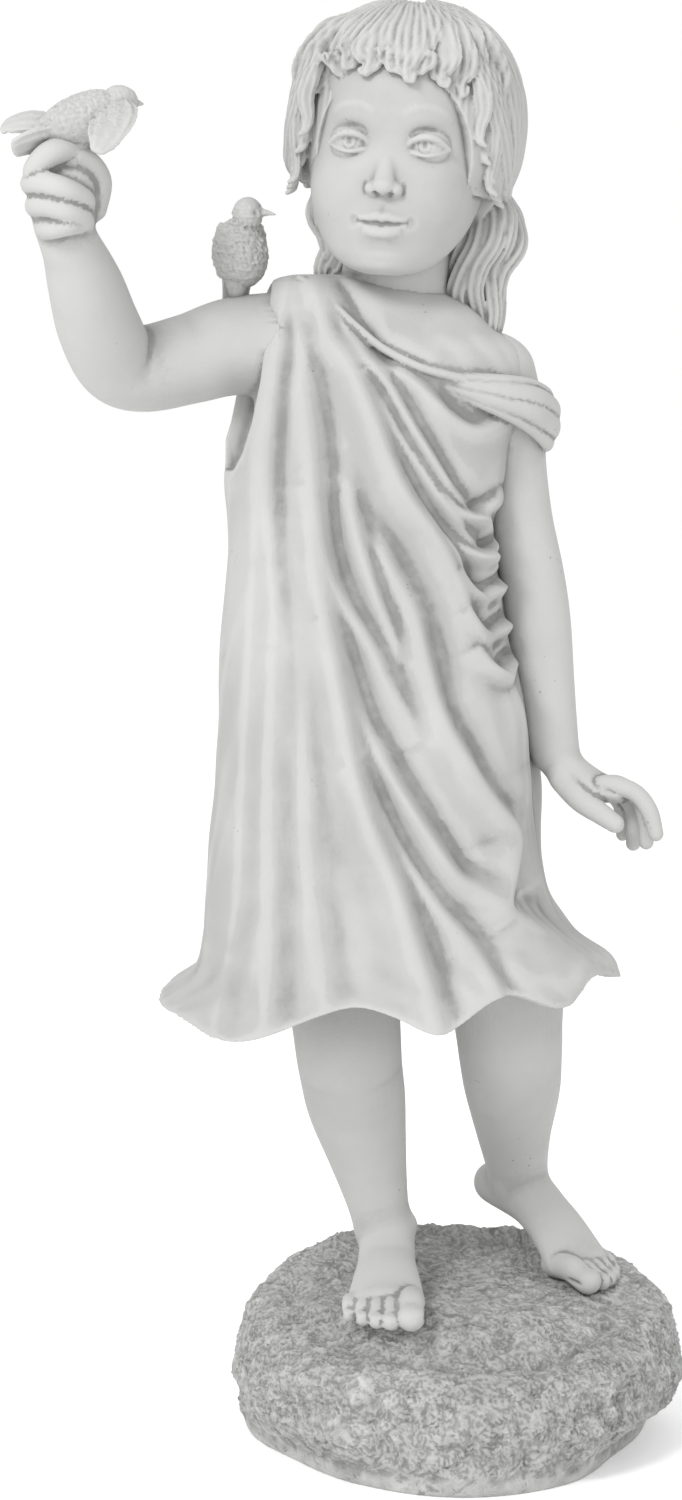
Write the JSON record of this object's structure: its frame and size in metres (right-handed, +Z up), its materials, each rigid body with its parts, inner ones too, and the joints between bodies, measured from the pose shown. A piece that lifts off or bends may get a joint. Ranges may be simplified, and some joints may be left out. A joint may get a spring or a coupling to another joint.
{
  "type": "girl garden statue",
  "caption": "Cast garden statue of a small barefoot girl in a draped one-shoulder tunic, stepping over a boulder, with a bird on her raised hand and another on her shoulder.",
  "frame": {"origin": "middle of the boulder's flat underside", "axes": "+Z up along the statue's height; the statue faces -Y; +X is to the viewer's right, so her raised right arm is on the -X side"},
  "size_m": [0.4237, 0.2758, 0.9101],
  "materials": {
    "cast_stone": "pale grey-white resin-bonded stone, matte, with a grey antique wash in the hollows and fine casting pits, rougher and greyer on the boulder"
  },
  "bodies": {
    "root": {"girl_statue": "cast_stone"}
  },
  "joints": []
}
